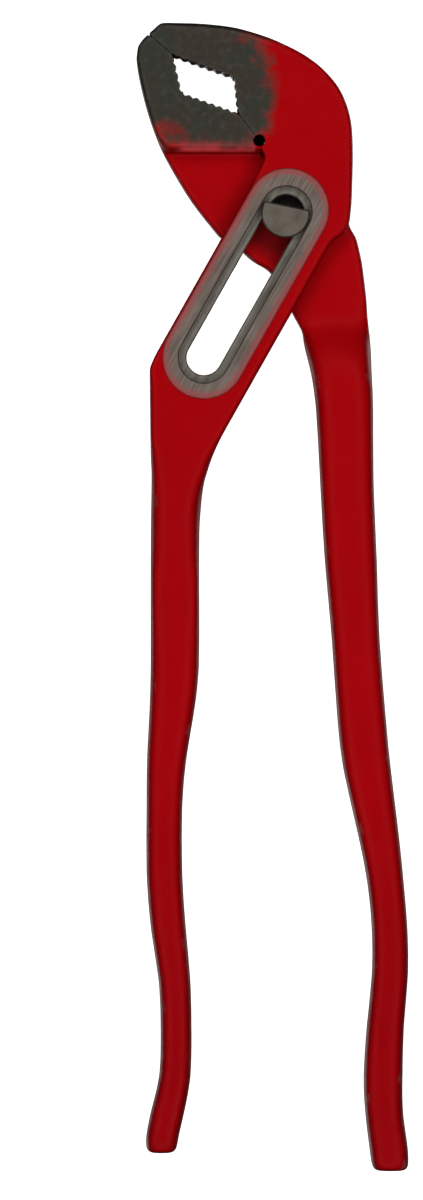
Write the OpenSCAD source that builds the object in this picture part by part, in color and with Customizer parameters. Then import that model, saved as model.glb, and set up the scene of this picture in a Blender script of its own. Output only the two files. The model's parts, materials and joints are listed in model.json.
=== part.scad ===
// Water pump pliers with a lapped slip joint and seven settings.
// They lie on their back: the pivot axis is Z and the jaws point to +Y.

/* [Size] */
// Length from the top of the hook to the end of the longer handle
tool_len = 250; // [235:1:265]
// Thickness of the two levers where they lap at the joint
joint_t = 12.6; // [12:0.2:13.6]

/* [Handles] */
// Thickness of each handle halfway down
handle_t = 9; // [8:0.2:10]
// Width of each handle below the joint
handle_w = 10.7; // [10:0.1:11.6]
// Width of each handle where the hand closes on it
grip_w = 7.8; // [7:0.1:9]
// Sideways from the pivot to the hook lever's handle
handle_out = 24; // [22.5:0.1:25.5]
// Sideways from the pivot to the end of the jaw lever's handle
splay = 22.8; // [20:0.2:26]
// How much shorter the hook lever's handle is
handle_short = 3.9; // [0:0.1:8]
// Length of the bend from the arm into the hook lever's handle, on each side
turn_len = 11; // [9:0.5:13]
// Length over which the jaw lever's neck thickens into its handle
step_len = 11; // [9:0.5:13]

/* [Head] */
// From the pivot up to the top of the hook
head_up = 41.5; // [40:0.1:44]
// From the pivot left to the front of the jaws
head_left = 32.5; // [31:0.1:34]
// From the pivot right to the back of the hook
head_right = 14.7; // [14.2:0.1:15.4]

/* [Jaws] */
// Gap between the jaw faces when they are closed
jaw_gap = 0.3; // [0.2:0.05:0.5]
// Depth of the gripping teeth
tooth_d = 0.6; // [0.3:0.1:0.8]
// Radius of the relief hole at the throat
throat_r = 1.3; // [0.8:0.1:1.6]

/* [Slip joint] */
// From the slot's middle to the left edge of its arm
arm_left = 9.5; // [9:0.1:10.2]
// From the slot's middle to the right edge of its arm
arm_right = 11.8; // [11:0.1:13]
// Width of the slot
slot_w = 7.6; // [7:0.1:8.2]
// Width of the sunk ledge around the slot
ledge_w = 11; // [10.4:0.1:12]
// Depth of that ledge below the ground land
ledge_depth = 2.4; // [1.8:0.1:2.8]
// Height of the ground land above the arm
land_h = 0.6; // [0.3:0.1:0.8]
// Distance from one setting to the next
lock_pitch = 5.7; // [5.2:0.1:5.8]
// Width of the locking rib
rib_w = 1.9; // [1.6:0.1:2.2]
// Room between the two levers at the lap
lap_gap = 0.2; // [0.1:0.05:0.3]

/* [Pivot] */
// Diameter of the journal that the jaw lever turns on
journal_d = 8; // [7.4:0.1:8.4]
// Clearance of the journal, and of the neck in the slot, on each side
fit_gap = 0.05; // [0.02:0.01:0.09]
// Thread diameter at the nut
thread_d = 6; // [5:0.5:6.5]
// Nut width across its flats
nut_af = 10; // [9:0.5:10.5]
// Nut height
nut_h = 2.4; // [2:0.1:2.8]
// Washer diameter
washer_d = 12.2; // [11.6:0.2:12.6]
// Washer thickness
washer_t = 0.8; // [0.6:0.1:1]

/* [Hidden] */
$fn = 64;
// settings of the joint, and how far the jaw lever opens at each
settings = 7;
open_deg = 45;
// slot direction, upwards from +X
slot_deg = 60.5;
// levels above the table
lap_z = joint_t / 2 + 0.3;
arm_z = lap_z + lap_gap;
land_z = joint_t + land_h;
ledge_z = land_z - ledge_depth;
back_z = 0.8;
mid_z = joint_t / 2;
// slot and arm
travel = (settings - 1) * lock_pitch;
slot_top = -0.4;
slot_end = travel + 1.8;
land_r = arm_left - 0.5;
// the jaw lever's boss turns in a pocket behind the head
boss_r = head_right - 0.9;
boss_low_r = 0.9 * boss_r;
pocket_r = boss_r + 0.4;
stop_deg = open_deg - 8;
neck_reach = 1.48 * boss_r;
handle_step = -1.67 * boss_r;
// rib on the jaw lever, grooves in the arm
rib_r = boss_r - 2.8;
rib_from = 2.5;
rib_to = 78.5;
rib_h = 1.3;
groove_room = 0.3;
// pivot levels
sink = washer_t + nut_h + 0.4;
sink_r = washer_d / 2 + 0.4;
seat_z = sink - 0.1;
pin_flat = 1.7;
// turn of the pin's flat from square to the slot
flat_turn = 18;
neck_long = 1.5;
head_r = ledge_w / 2 - 0.25;
head_z = land_z - 0.2;

// Piece to draw

// A point a below the pivot along the slot and p to the slot's left
function along(a, p) = [
    -a * cos(slot_deg) - p * sin(slot_deg),
    -a * sin(slot_deg) + p * cos(slot_deg)
];
function polar(r, d) = [r * cos(d), r * sin(d)];
// A point of the head or the boss, as shares of their sizes
function head(u, v) = [u * (u < 0 ? head_left : head_right), v * head_up];
function boss(u, v) = [u, v] * boss_r;

// Smooth curve through a list of points
function blend(a, b, c, d, t) =
    0.5 * (2 * b + (c - a) * t + (2 * a - 5 * b + 4 * c - d) * t * t
    + (3 * b - a - 3 * c + d) * t * t * t);
function curve(p, n) = concat(
    [for (i = [0 : len(p) - 2], j = [0 : n - 1])
        blend(p[max(i - 1, 0)], p[i], p[i + 1], p[min(i + 2, len(p) - 1)], j / n)],
    [p[len(p) - 1]]
);

// Saw teeth from p to q, cut into the metal on the right of that line
function teeth(p, q, n, d) = let (
    step = (q - p) / n,
    into = [step[1], -step[0]] / norm(step) * d
) [for (i = [0 : n - 1]) each [p + step * i, p + step * (i + 0.5) + into]];

// A round bend from p to q with its corner at c
function bend(p, c, q, t) = (1 - t) * (1 - t) * p + 2 * t * (1 - t) * c + t * t * q;

// The parting line of the closed jaws and the four corners of the grip
tip = head(-0.916, 0.942);
grip_front = head(-0.739, 0.822);
grip_top = head(-0.348, 0.711);
grip_rear = head(-0.326, 0.537);
grip_low = head(-0.686, 0.639);
throat_deg = 109.8;
throat = polar(pocket_r + 2.6, throat_deg);
jaw_step = throat[1] - 2.3;
apart = jaw_gap * [-0.73, -0.68];

// Edges of the hook lever's handle, and the corner where the arm turns into it
edge_l = -handle_out - handle_w / 2;
edge_r = -handle_out + handle_w / 2;
turn_a = (arm_right * sin(slot_deg) - edge_r) / cos(slot_deg);
turn = along(turn_a, -arm_right);
turn_top = along(turn_a - turn_len, -arm_right);
turn_end = turn - [0, turn_len];
shoulder_a = (-edge_l - arm_left * sin(slot_deg)) / cos(slot_deg);
root_y = along(travel + neck_reach, 0)[1];

// Handle stations: y, middle, width, back and front
hz0 = mid_z - handle_t / 2;
hz1 = mid_z + handle_t / 2;
hook_y = head_up - tool_len + handle_short;
jaw_y = head_up - tool_len;
function wide(share) = handle_w + (grip_w - handle_w) * share;
function between(y, l, r, back, front) = [y, (l + r) / 2, r - l, back, front];
function turned(t, left, right, front) = let (q = bend(turn_top, turn, turn_end, t))
    between(q[1], edge_l + left, q[0] - right, hz0 - 0.6 * (1 - t), front);
function hook_at(f, sway, share, thin = 0) = [
    turn_end[1] + (hook_y - turn_end[1]) * f, sway - handle_out,
    wide(share), hz0 + thin, hz1 - thin
];
function jaw_at(f, out, share, thick = 0, thin = 0) = [
    handle_step - step_len + (jaw_y - handle_step + step_len) * f, out * splay,
    wide(share), hz0 - thick + thin, hz1 + 1.6 * thick - thin
];
hook_handle = [
    between(root_y + 1.5, edge_l + 0.5, turn_top[0] - 1.5, hz0 - 0.6, joint_t - 0.2),
    turned(0.2, 0.4, 0.7, joint_t - 0.2),
    turned(0.5, 0.2, 0.2, joint_t - 0.3),
    turned(1, 0, 0, joint_t - 0.7),
    hook_at(0.12, -0.05, 0, -0.45),
    hook_at(0.23, -0.1, 0.03, -0.15),
    hook_at(0.3, -0.8, 0.31),
    hook_at(0.37, -1.85, 0.69),
    hook_at(0.446, -2.35, 0.97),
    hook_at(0.556, -2.35, 0.97),
    hook_at(0.645, -1.45, 1.03),
    hook_at(0.728, -0.1, 1.28),
    hook_at(0.81, 0.2, 1.34),
    hook_at(0.877, -0.05, 1.3),
    hook_at(0.929, -1.5, 1.14),
    hook_at(0.973, -2.8, 1.2),
    hook_at(0.995, -3, 1.4, 0.2),
    hook_at(1, -3, 1.9, 0.9)
];
jaw_handle = [
    between(handle_step, 0.25 * boss_r, 1.315 * boss_r, hz0 - 1.2, lap_z - 0.1),
    between(handle_step - step_len / 2, 0.29 * boss_r, 1.355 * boss_r, hz0 - 1, joint_t - 2.8),
    jaw_at(0, 0.533, -0.97, 0.7),
    jaw_at(0.046, 0.566, -0.66, 0.35),
    jaw_at(0.138, 0.588, -0.38),
    jaw_at(0.235, 0.625, -0.28),
    jaw_at(0.332, 0.671, 0.05),
    jaw_at(0.436, 0.73, 0),
    jaw_at(0.499, 0.783, 0.08),
    jaw_at(0.585, 0.897, 0.62),
    jaw_at(0.642, 0.96, 0.93),
    jaw_at(0.699, 0.998, 0.97),
    jaw_at(0.756, 1, 0.93),
    jaw_at(0.819, 0.956, 0.86),
    jaw_at(0.883, 0.934, 0.72),
    jaw_at(0.928, 0.945, 0.82),
    jaw_at(0.968, 0.985, 0.76),
    jaw_at(0.995, 1.004, 0.93, 0, 0.2),
    jaw_at(1, 1.004, 1.45, 0, 0.9)
];

// Signed power, for a section between an ellipse and a rectangle
function bow(v) = sign(v) * pow(abs(v), 0.62);
function section(s, m) = [for (i = [0 : m - 1]) [
    s[1] + s[2] / 2 * bow(cos(360 * i / m)),
    s[0],
    (s[3] + s[4]) / 2 + (s[4] - s[3]) / 2 * bow(sin(360 * i / m))
]];

// A rounded bar through its stations, from the joint down
module handle(stations, m = 28) {
    rows = curve(stations, 2);
    n = len(rows);
    points = [for (s = rows) each section(s, m)];
    sides = [for (j = [0 : n - 2], i = [0 : m - 1]) let (
        a = j * m + i,
        b = j * m + (i + 1) % m
    ) each [[a, b + m, b], [a, a + m, b + m]]];
    near = [[for (i = [0 : m - 1]) i]];
    far = [[for (i = [m - 1 : -1 : 0]) (n - 1) * m + i]];
    polyhedron(points, concat(near, sides, far));
}

// A round-ended bar along the slot
module track(w, from, to) {
    rotate(slot_deg + 180)
    union() {
        translate([from, 0]) circle(d = w);
        translate([to, 0]) circle(d = w);
        translate([from, -w / 2]) square([to - from, w]);
    }
}

// Part of a ring, between two angles
module ring_part(r, w, from, to) {
    intersection() {
        difference() {
            circle(r = r + w / 2);
            circle(r = r - w / 2);
        }
        polygon(concat(
            [[0, 0]],
            [for (i = [0 : 6]) polar(2 * r, from + (to - from) * i / 6)]
        ));
    }
}

module hook_outline() {
    back = curve([
        head(-0.835, 1), head(-0.606, 0.998), head(-0.376, 0.981), head(-0.211, 0.949),
        head(-0.037, 0.899), head(0.378, 0.81), head(0.755, 0.68), head(0.951, 0.523),
        head(1, 0.337), head(0.98, 0.048)
    ], 4);
    heel = [
        boss(1.01, -0.17), boss(0.91, -0.33), along(0, -arm_right), turn_top
    ];
    root = [for (t = [0.1 : 0.1 : 0.5]) bend(turn_top, turn, turn_end, t)];
    end = [
        [-handle_out + 0.4 * handle_w, turn[1] - 0.55 * turn_len],
        [-handle_out + 0.1 * handle_w, turn[1] - 0.82 * turn_len],
        [-handle_out - 0.15 * handle_w, turn[1] - 0.77 * turn_len],
        [-handle_out - 0.4 * handle_w, turn[1] - 0.36 * turn_len]
    ];
    left = [
        [edge_l, turn[1] + 0.27 * turn_len], along(shoulder_a + 1, arm_left - 0.3),
        along(shoulder_a - 2, arm_left), along(-1, arm_left), polar(pocket_r - 1.2, throat_deg)
    ];
    grip = concat(
        [throat],
        teeth(grip_rear, grip_top, 4, tooth_d),
        teeth(grip_top, grip_front, 7, tooth_d),
        [grip_front, tip]
    );
    polygon(concat(back, heel, root, end, left, grip));
}

// What lies below the pivot along the slot, on both sides of it
module below_pivot(reach) {
    polygon([
        along(0, -5 * arm_right),
        along(0, 5 * arm_left),
        along(reach, 5 * arm_left),
        along(reach, -5 * arm_right)
    ]);
}

// What is open behind the head and the arm, so the jaw lever can turn and step
module hook_pocket(reach) {
    circle(r = pocket_r);
    polygon([
        [0, 0],
        polar(5 * boss_r, stop_deg),
        polar(5 * boss_r, 0),
        polar(5 * boss_r, slot_deg - 90)
    ]);
    below_pivot(reach);
}

module hook_lever() {
    color([0.66, 0.02, 0.05])
    difference() {
        union() {
            difference() {
                translate([0, 0, back_z])
                    linear_extrude(joint_t - back_z) hook_outline();
                translate([0, 0, -5])
                    linear_extrude(arm_z + 5) hook_pocket(tool_len);
            }
            translate([0, 0, arm_z + 1])
                linear_extrude(land_z - arm_z - 1)
                    track(2 * land_r, slot_top - 0.5, slot_end);
            difference() {
                handle(hook_handle);
                translate([0, 0, -5])
                    linear_extrude(arm_z + 5) below_pivot(travel + neck_reach);
            }
        }
        translate([0, 0, -1])
            linear_extrude(land_z + 2) track(slot_w, slot_top, slot_end);
        translate([0, 0, ledge_z])
            linear_extrude(ledge_depth + 1) track(ledge_w, slot_top, slot_end);
        for (i = [0 : settings - 1])
            translate(along(i * lock_pitch, 0))
                translate([0, 0, arm_z - 1])
                    linear_extrude(rib_h + groove_room - lap_gap + 1)
                        ring_part(rib_r, rib_w + 2 * groove_room,
                            rib_from - 2.5, rib_to + open_deg + 2.5);
        translate([throat[0], throat[1], -1])
            cylinder(r = throat_r, h = land_z + 2);
    }
}

module jaw_outline() {
    grip = concat(
        [tip + apart],
        teeth(grip_front + apart, grip_low + apart, 4, tooth_d),
        teeth(grip_low + apart, grip_rear + apart, 7, tooth_d),
        [grip_rear + apart, throat + apart, polar(pocket_r - 1.2, throat_deg + 2.2)]
    );
    round_back = [for (a = [100 : -10 : 0]) polar(boss_r, a)];
    right = [
        boss(1.01, -0.19), boss(1.125, -0.36), boss(1.215, -0.75), boss(1.285, -1.32),
        boss(1.31, -1.75), boss(1.05, -2.2), boss(0.6, -2.2)
    ];
    inner = curve([
        boss(0.3, -1.9), boss(0.1, -1.54), boss(-0.165, -1), boss(-0.63, -0.605),
        boss(-1.03, -0.37)
    ], 4);
    left = curve([
        boss(-1.05, -0.35), head(-0.637, 0.075), head(-0.806, 0.299), head(-0.885, 0.443),
        head(-0.938, 0.573), head(-0.979, 0.706), head(-1, 0.805)
    ], 4);
    front = [head(-0.988, 0.877), head(-0.95, 0.918)];
    polygon(concat(grip, round_back, right, inner, left, front));
}

module jaw_lever() {
    color([0.62, 0.02, 0.04])
    difference() {
        union() {
            difference() {
                linear_extrude(joint_t) jaw_outline();
                // thin neck, so the slotted arm passes in front of it
                translate([-tool_len, jaw_step - 2 * tool_len, lap_z])
                    cube([2 * tool_len, 2 * tool_len, joint_t]);
                translate([0, 0, lap_z]) cylinder(r = pocket_r, h = joint_t);
                // back of the jaw, clear of the table
                translate([-tool_len, jaw_step + 2, -1])
                    cube([2 * tool_len, tool_len, back_z + 1]);
            }
            linear_extrude(lap_z) circle(r = boss_low_r);
            handle(jaw_handle);
            translate([0, 0, lap_z - 0.5])
                linear_extrude(rib_h + 0.5) ring_part(rib_r, rib_w, rib_from, rib_to);
            // floor of the relief hole at the throat
            translate([throat[0], throat[1], back_z])
                cylinder(r = throat_r - 0.25, h = lap_z - 1 - back_z);
        }
        translate([0, 0, -1])
            cylinder(d = journal_d + 2 * fit_gap, h = joint_t);
        translate([0, 0, -1])
            cylinder(r = sink_r, h = sink + 1);
        translate([throat[0], throat[1], lap_z - 1])
            cylinder(r = throat_r, h = joint_t);
    }
}

// The side of the pivot's flat that is kept, below it along the slot
module below_flat() {
    rotate(slot_deg + 180 + flat_turn)
        translate([-pin_flat, -2 * ledge_w]) square(4 * ledge_w);
}

module pivot_bolt() {
    color([0.5, 0.48, 0.45]) {
        translate([0, 0, ledge_z + 0.05])
            linear_extrude(head_z - ledge_z - 0.05)
                intersection() {
                    circle(r = head_r);
                    below_flat();
                }
        translate([0, 0, arm_z - 0.05])
            linear_extrude(ledge_z - arm_z + 0.6)
                intersection() {
                    track(slot_w - 2 * fit_gap, 0, neck_long);
                    below_flat();
                }
        translate([0, 0, seat_z])
            cylinder(d = journal_d, h = arm_z - 0.05 - seat_z);
        cylinder(d = thread_d, h = seat_z + 1);
        cylinder(r = pin_flat - 0.1, h = ledge_z + 0.5);
    }
}

module pivot_washer() {
    color([0.6, 0.6, 0.58])
    translate([0, 0, seat_z - washer_t])
        difference() {
            cylinder(d = washer_d, h = washer_t);
            translate([0, 0, -1]) cylinder(d = thread_d + 0.4, h = washer_t + 2);
        }
}

module pivot_nut() {
    color([0.55, 0.55, 0.53])
    translate([0, 0, seat_z - washer_t - nut_h])
        difference() {
            cylinder(d = nut_af / cos(30), h = nut_h, $fn = 6);
            translate([0, 0, -1]) cylinder(d = thread_d + 0.1, h = nut_h + 2);
        }
}

hook_lever();
jaw_lever();
pivot_bolt();
pivot_washer();
pivot_nut();
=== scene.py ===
import json
import math

import bmesh
import bpy
import numpy as np
from mathutils import Euler, Matrix, Vector


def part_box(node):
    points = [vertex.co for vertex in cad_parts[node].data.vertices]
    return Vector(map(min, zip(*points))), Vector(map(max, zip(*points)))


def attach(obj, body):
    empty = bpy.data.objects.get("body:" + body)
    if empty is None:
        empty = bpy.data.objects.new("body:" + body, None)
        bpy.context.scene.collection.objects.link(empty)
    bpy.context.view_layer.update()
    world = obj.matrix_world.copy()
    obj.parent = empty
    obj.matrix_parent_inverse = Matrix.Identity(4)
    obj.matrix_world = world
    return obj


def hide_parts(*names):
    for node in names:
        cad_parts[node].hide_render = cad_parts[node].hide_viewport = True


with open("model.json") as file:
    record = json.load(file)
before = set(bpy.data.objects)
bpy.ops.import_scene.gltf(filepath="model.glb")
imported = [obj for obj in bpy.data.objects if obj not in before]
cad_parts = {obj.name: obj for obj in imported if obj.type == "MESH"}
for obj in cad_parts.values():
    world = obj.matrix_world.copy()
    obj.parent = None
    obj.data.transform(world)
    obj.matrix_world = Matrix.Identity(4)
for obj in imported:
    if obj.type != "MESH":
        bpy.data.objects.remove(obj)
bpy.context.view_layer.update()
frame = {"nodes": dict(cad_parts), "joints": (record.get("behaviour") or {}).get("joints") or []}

mm = 0.001
scene = bpy.context.scene
joints = {joint["name"]: joint for joint in frame["joints"]}

# what the frame says about the slip joint and the head
slotDown = Vector(joints["setting_slide"]["axis"][:2])
slotLeft = Vector((slotDown.y, -slotDown.x))
travel = joints["setting_slide"]["range_m"][1]
openAngle = math.radians(joints["jaw_hinge"]["range_deg"][1])
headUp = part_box("hook_lever")[1].y
headLeft = -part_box("jaw_lever")[0].x
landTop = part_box("hook_lever")[1].z
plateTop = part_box("jaw_lever")[1].z
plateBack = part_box("hook_lever")[0].z
print("frame loaded:", ", ".join(sorted(frame["nodes"])))

# sizes of the slip joint, for both levers and their finishes; the pocket's angles are in degrees
slipJoint = {
    "slotWidth": 7.6 * mm, "slotTop": -0.4 * mm, "slotEnd": travel + 1.8 * mm,
    "ledgeWidth": 11 * mm, "ledgeDepth": 2.4 * mm, "landRadius": 9 * mm, "landTop": -0.9 * mm,
    "armBack": 6.8 * mm, "armLeft": 9.5 * mm, "lapFace": 6.6 * mm, "chamfer": 0.25 * mm,
    "lockPitch": 5.7 * mm, "grooveRadius": 11 * mm, "grooveWidth": 2.5 * mm, "grooveDepth": 1.4 * mm,
    "ribFrom": math.radians(2.5), "ribSweep": math.radians(76), "ribWidth": 1.9 * mm, "ribHeight": 1.3 * mm,
    "grooveRoom": math.radians(2.5),
    "pocketRadius": 14.1 * mm, "pocketRoom": 0.02 * mm, "pocketSides": 192,
    "pocketFrom": math.degrees(openAngle) - 8, "pocketTo": 104, "pocketSteps": 32
}


def slotPoint(down, left):
    return slotDown * down + slotLeft * left


def headPoint(across, up):
    return Vector((across * headLeft, up * headUp))


def polar(radius, degrees):
    return Vector((math.cos(math.radians(degrees)), math.sin(math.radians(degrees)))) * radius


# meshes

def newPiece(name, points, faces, finish=None):
    mesh = bpy.data.meshes.new(name)
    mesh.from_pydata([tuple(p) for p in points], [], faces)
    if finish:
        mesh.materials.append(finish)
    piece = bpy.data.objects.new(name, mesh)
    scene.collection.objects.link(piece)
    return piece


def stack(name, loops, finish=None):  # loops of equal length, counter-clockwise, from the bottom up
    count = len(loops[0])
    points = [p for loop in loops for p in loop]
    faces = [
        (row * count + i, row * count + j, (row + 1) * count + j, (row + 1) * count + i)
        for row in range(len(loops) - 1)
        for i, j in ((i, (i + 1) % count) for i in range(count))
    ]
    faces.append(tuple(reversed(range(count))))
    faces.append(tuple(range(len(points) - count, len(points))))
    return newPiece(name, points, faces, finish)


def lathe(name, profile, finish=None, steps=96):  # (radius, height) pairs from the bottom up
    turns = [2 * math.pi * i / steps for i in range(steps)]
    return stack(name, [[(r * math.cos(a), r * math.sin(a), z) for a in turns] for r, z in profile], finish)


def bakeModifiers(piece):
    ready = piece.evaluated_get(bpy.context.evaluated_depsgraph_get())
    mesh = bpy.data.meshes.new_from_object(ready)
    piece.modifiers.clear()
    piece.data = mesh


def carve(piece, tool, operation="DIFFERENCE"):
    change = piece.modifiers.new("carve", "BOOLEAN")
    change.object = tool
    change.operation = operation
    change.solver = "MANIFOLD"
    change.material_mode = "TRANSFER"
    bakeModifiers(piece)
    bpy.data.objects.remove(tool)


def dropCrumbs(piece):  # keeps only the largest part of what a cut leaves
    work = bmesh.new()
    work.from_mesh(piece.data)
    left, parts = set(work.verts), []
    while left:
        todo = [left.pop()]
        part = list(todo)
        while todo:
            for edge in todo.pop().link_edges:
                fresh = [vert for vert in edge.verts if vert in left]
                left.difference_update(fresh)
                todo += fresh
                part += fresh
        parts.append(part)
    parts.sort(key=len)
    bmesh.ops.delete(work, geom=[vert for part in parts[:-1] for vert in part], context="VERTS")
    work.to_mesh(piece.data)
    work.free()


def shadeEdges(piece, degrees=34):
    piece.data.shade_smooth()
    piece.data.set_sharp_from_angle(angle=math.radians(degrees))


# node trees that make what repeats

def newTree(name, inputs):
    tree = bpy.data.node_groups.new(name, "GeometryNodeTree")
    tree.interface.new_socket("Geometry", in_out="OUTPUT", socket_type="NodeSocketGeometry")
    for label, kind in inputs:
        tree.interface.new_socket(label, in_out="INPUT", socket_type="NodeSocket" + kind)
    return tree, tree.nodes.new("NodeGroupInput").outputs


def addNode(tree, kind, inputs=None, **settings):
    node = tree.nodes.new(kind)
    for key, value in settings.items():
        setattr(node, key, value)
    for key, value in (inputs or {}).items():
        if isinstance(value, bpy.types.NodeSocket):
            tree.links.new(value, node.inputs[key])
        else:
            node.inputs[key].default_value = value
    return node


def rowOf(tree, given, shape, turn):  # the shape, repeated along a line
    line = addNode(tree, "GeometryNodeMeshLine", {
        "Count": given["Count"], "Start Location": given["Start"], "Offset": given["Step"]
    })
    row = addNode(tree, "GeometryNodeInstanceOnPoints", {
        "Points": line.outputs["Mesh"], "Instance": shape, "Rotation": turn
    })
    solid = addNode(tree, "GeometryNodeRealizeInstances", {"Geometry": row.outputs["Instances"]})
    done = addNode(tree, "GeometryNodeSetMaterial", {
        "Geometry": solid.outputs["Geometry"], "Material": given["Finish"]
    })
    out = tree.nodes.new("NodeGroupOutput")
    tree.links.new(done.outputs["Geometry"], out.inputs["Geometry"])


def toothTree():  # notches between gripping teeth
    tree, given = newTree("toothNotches", [
        ("Start", "Vector"), ("Step", "Vector"), ("Count", "Int"), ("Turn", "Vector"),
        ("Size", "Vector"), ("Finish", "Material")
    ])
    block = addNode(tree, "GeometryNodeMeshCube", {"Size": (math.sqrt(0.5),) * 2 + (1,)})
    edgeOn = addNode(tree, "GeometryNodeTransform", {
        "Geometry": block.outputs["Mesh"], "Rotation": (0, 0, math.pi / 4)
    })
    notch = addNode(tree, "GeometryNodeTransform", {
        "Geometry": edgeOn.outputs["Geometry"], "Scale": given["Size"]
    })
    rowOf(tree, given, notch.outputs["Geometry"], given["Turn"])
    return tree


def ringPartTree():  # arcs of square section, for the locking grooves and the rib that fits them
    tree, given = newTree("ringParts", [
        ("Start", "Vector"), ("Step", "Vector"), ("Count", "Int"), ("Radius", "Float"), ("From", "Float"),
        ("Sweep", "Float"), ("Width", "Float"), ("Height", "Float"), ("Finish", "Material")
    ])
    arc = addNode(tree, "GeometryNodeCurveArc", {
        "Resolution": 48, "Radius": given["Radius"],
        "Start Angle": given["From"], "Sweep Angle": given["Sweep"]
    })
    upright = addNode(tree, "GeometryNodeSetCurveNormal", {"Curve": arc.outputs["Curve"]}, mode="Z_UP")
    section = addNode(tree, "GeometryNodeCurvePrimitiveQuadrilateral", {
        "Width": given["Width"], "Height": given["Height"]
    })
    groove = addNode(tree, "GeometryNodeCurveToMesh", {
        "Curve": upright.outputs["Curve"], "Profile Curve": section.outputs["Curve"], "Fill Caps": True
    })
    rowOf(tree, given, groove.outputs["Mesh"], (0, 0, 0))
    return tree


def grow(name, tree, values):
    piece = newPiece(name, [], [])
    change = piece.modifiers.new(name, "NODES")
    change.node_group = tree
    for item in tree.interface.items_tree:
        if item.name in values:
            change[item.identifier] = values[item.name]
    bakeModifiers(piece)
    return piece


# materials

def newFinish(name, metallic=0.0):
    finish = bpy.data.materials.new(name)
    finish.use_nodes = True
    tree = finish.node_tree
    tree.nodes.clear()
    out = tree.nodes.new("ShaderNodeOutputMaterial")
    shader = addNode(tree, "ShaderNodeBsdfPrincipled", {"Metallic": metallic})
    tree.links.new(shader.outputs["BSDF"], out.inputs["Surface"])
    return finish, tree, shader.inputs


def noise(tree, where, scale, detail=2.0):
    node = addNode(tree, "ShaderNodeTexNoise", {"Vector": where, "Scale": scale, "Detail": detail})
    return node.outputs["Fac"]


def maths(tree, operation, *values):
    node = addNode(tree, "ShaderNodeMath", dict(enumerate(values)), operation=operation)
    return node.outputs[0]


def vectorMaths(tree, operation, *values):
    return addNode(tree, "ShaderNodeVectorMath", dict(enumerate(values)), operation=operation).outputs


def product(tree, first, *others):  # of several masks
    for other in others:
        first = maths(tree, "MULTIPLY", first, other)
    return first


def remap(tree, value, low, high, toLow, toHigh):
    node = addNode(tree, "ShaderNodeMapRange", {
        "Value": value, "From Min": low, "From Max": high, "To Min": toLow, "To Max": toHigh
    }, interpolation_type="SMOOTHSTEP")
    return node.outputs["Result"]


def mixColour(tree, share, first, second, blend="MIX"):
    inputs = {0: share, 6: first, 7: second}
    return addNode(tree, "ShaderNodeMix", inputs, data_type="RGBA", blend_type=blend).outputs[2]


def mixValue(tree, share, first, second):
    return addNode(tree, "ShaderNodeMix", {0: share, 2: first, 3: second}).outputs[0]


def grey(tree, value):
    return addNode(tree, "ShaderNodeCombineColor", {0: value, 1: value, 2: value}).outputs[0]


def bump(tree, height, depth):
    return addNode(tree, "ShaderNodeBump", {"Height": height, "Distance": depth}).outputs["Normal"]


noiseRange = (0.3, 0.7)  # the span of a noise's values that most patterns use
enamel = {  # a tilt here and below is the share of a surface's direction that faces the front
    "deep": (0.345, 0.0003, 0.0025, 1), "bright": (0.43, 0.0005, 0.0030, 1), "mottle": 55,
    "grip": (0.27, 0.0005, 0.0030, 1), "gripShare": 0.55, "gripFrom": -105 * mm, "gripTo": -180 * mm,
    # the side shade darkens the red where the surface turns away from the front: painted shade on rounded
    # sides and edges
    "sideShade": 0.55, "sideShadeTilt": (0.5, 1.0),
    "roughness": 0.36, "smear": 160, "smearRange": (-0.05, 0.07),
    "specular": 0.08, "gloss": (1, 0.38, 0.36, 1),
    "forged": 130, "peel": 650, "peelShare": 0.12, "relief": 0.12 * mm,
    # sides of the bare jaw zone: outward direction, how far out, and how softly the paint fades there
    "bareSides": [
        ((1, 0), -2.9 * mm, 1.9 * mm), ((0, -1), -14.9 * mm, 1.4 * mm),
        ((0.735, -0.678), -15.4 * mm, 1.9 * mm),
        ((-0.46, -0.89), -2.3 * mm, 5 * mm), ((0.735, 0.678), 21.7 * mm, 5 * mm)
    ],
    "bareCorner": 2, "bareRagged": [(300, 0.4), (1800, 0.1)]  # scale and amount
}
scuffs = {  # paint rubbed thin along the edges
    "tone": (0.16, 0.07, 0.062, 1), "share": 0.55, "scale": 210, "range": (0.60, 0.72),
    "steepTilt": (0.2, 0.5), "flatTilt": (0.72, 0.86)
}
wornFootAndHighlight = {  # rubbed paint on the step under the rear jaw, with where it starts and ends; its steep face takes a lighter tone, a painted highlight over the shade it falls in
    "tone": (0.36, 0.042, 0.046, 1), "steep": (0.80, 0.080, 0.090, 1), "steepTilt": (0.5, 0.95),
    "share": 0.85, "patches": 520, "patchRange": (0.25, 0.6), "leastPatch": 0.6,
    "low": (12.8 * mm, 13.6 * mm), "high": (15.0 * mm, 16.6 * mm), "right": (-7.0 * mm, -6.2 * mm),
    "left": (-24.5 * mm, -21.5 * mm), "level": (6.8 * mm, 9.5 * mm)
}
paintedShadeLap = {  # painted shade: the lap face darkened where the two levers slide on each other, deep under the arm and in the slot
    "tone": (0.035, 0.003, 0.004, 1), "share": 0.65, "tilt": (0.3, 0.8), "near": 0.4 * mm,
    "radius": (7.5 * mm, 12.5 * mm), "across": (7 * mm, 11.5 * mm)
}
bareJaw = {
    "brown": (0.050, 0.040, 0.032, 1), "green": (0.037, 0.043, 0.033, 1),
    "heat": 110, "heatRange": (0.35, 0.65), "rubbed": (0.064, 0.059, 0.051, 1),
    "pits": 700, "pitRange": (0.45, 0.8), "pitDepth": 0.3, "roughness": 0.5
}


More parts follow.
